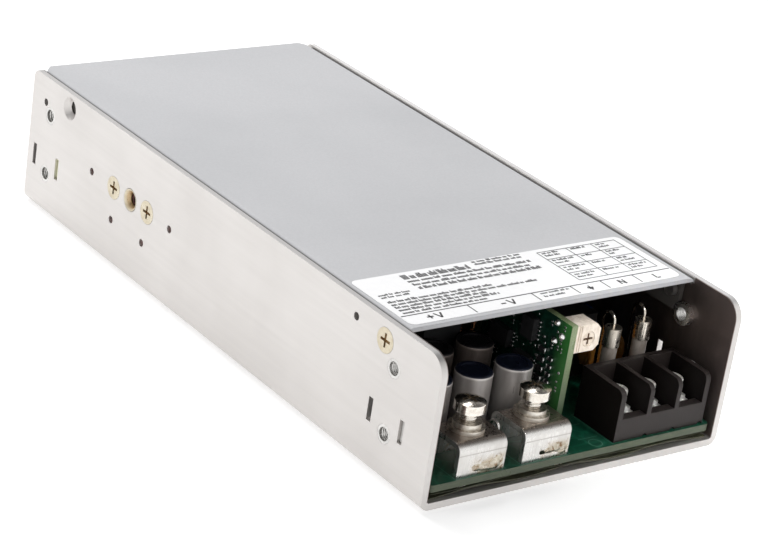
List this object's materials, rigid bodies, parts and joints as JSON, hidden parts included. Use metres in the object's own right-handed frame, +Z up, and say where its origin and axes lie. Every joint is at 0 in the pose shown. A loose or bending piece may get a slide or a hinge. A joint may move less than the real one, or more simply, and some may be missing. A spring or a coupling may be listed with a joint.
{
  "type": "switching power supply",
  "caption": "Flat enclosed switching power supply: a folded aluminium channel with a sheet cover over a circuit board, open at one end for output terminals and an input barrier block.",
  "frame": {"origin": "centre of the footprint, on the plane it stands on", "axes": "+Z up, +Y from the terminal end to the closed rear, +X to the right seen from the terminal end"},
  "size_m": [0.081, 0.1664, 0.034],
  "materials": {
    "bare_aluminium": "bare mill sheet, satin",
    "galvanised_sheet": "galvanised, dull with a fine grain",
    "yellow_zinc": "yellow zinc plate, satin",
    "bright_zinc": "bright zinc plate",
    "insulating_film": "dull dark film",
    "circuit_board": "solder resist, semi-gloss",
    "tinned_copper": "tin plate, soft shine",
    "nickel_plate": "nickel plate, bright",
    "block_moulding": "dark moulded phenolic, satin",
    "chip_package": "moulded epoxy, matt",
    "trimmer_moulding": "moulded, matt",
    "trimmer_rotor": "moulded, matt",
    "fuse_ceramic": "ceramic tube, matt",
    "varistor_coat": "dipped resin, glossy",
    "capacitor_box": "moulded box, satin",
    "disc_coat": "dipped resin, glossy",
    "core_coat": "powder coat, matt",
    "copper_wire": "enamelled copper",
    "relay_case": "moulded case, satin",
    "thermistor_coat": "dipped resin, matt",
    "bulk_sleeve": "shrink sleeve, glossy",
    "capacitor_sleeve": "shrink sleeve, satin",
    "ferrite": "sintered ferrite, matt",
    "bobbin_moulding": "moulded, satin",
    "winding_tape": "polyester tape, satin",
    "thermal_rubber": "soft pad, matt"
  },
  "bodies": {
    "supply": {"chassis": "bare_aluminium", "top_cover": "galvanised_sheet", "cover_screws": "yellow_zinc", "clinch_nuts": "bright_zinc", "insulating_sheet": "insulating_film", "board_standoffs": "bright_zinc", "main_board": "circuit_board", "board_screws": "bright_zinc", "positive_terminal": "tinned_copper", "negative_terminal": "tinned_copper", "terminal_screws": "nickel_plate", "spring_washers": "nickel_plate", "flat_washers": "nickel_plate", "terminal_nuts": "nickel_plate", "wire_link": "tinned_copper", "input_block": "block_moulding", "input_terminals": "tinned_copper", "input_clamps": "bright_zinc", "input_screws": "nickel_plate", "output_capacitor_1": "capacitor_sleeve", "output_capacitor_2": "capacitor_sleeve", "output_capacitor_3": "capacitor_sleeve", "output_capacitor_4": "capacitor_sleeve", "output_capacitor_5": "capacitor_sleeve", "output_capacitor_6": "capacitor_sleeve", "control_board": "circuit_board", "control_chips": "chip_package", "control_pins": "tinned_copper", "trimmer_body": "trimmer_moulding", "line_fuse": "fuse_ceramic", "neutral_fuse": "fuse_ceramic", "fuse_caps": "nickel_plate", "varistor": "varistor_coat", "line_capacitor_1": "capacitor_box", "line_capacitor_2": "capacitor_box", "disc_capacitors": "disc_coat", "filter_core": "core_coat", "filter_winding": "copper_wire", "relay": "relay_case", "thermistor": "thermistor_coat", "bridge_rectifier": "chip_package", "bridge_heatsink": "bare_aluminium", "bulk_capacitor_1": "bulk_sleeve", "bulk_capacitor_2": "bulk_sleeve", "transformer_core": "ferrite", "transformer_bobbin": "bobbin_moulding", "transformer_winding": "winding_tape", "choke_core": "ferrite", "choke_bobbin": "bobbin_moulding", "choke_winding": "winding_tape", "power_transistors": "chip_package", "thermal_pad": "thermal_rubber", "clamp_bar": "bright_zinc", "clamp_screws": "yellow_zinc", "output_choke_core": "core_coat", "output_choke_winding": "copper_wire", "rectifier_heatsink": "bare_aluminium", "rectifiers": "chip_package"},
    "trimmer": {"trimmer_rotor": "trimmer_rotor"}
  },
  "joints": [
    {"name": "trimmer_turn", "type": "hinge", "parent": "supply", "child": "trimmer", "pos_m": [0.0065, -0.0732, 0.0264], "axis": [0, -1, 0], "range_deg": [-130, 130]}
  ]
}
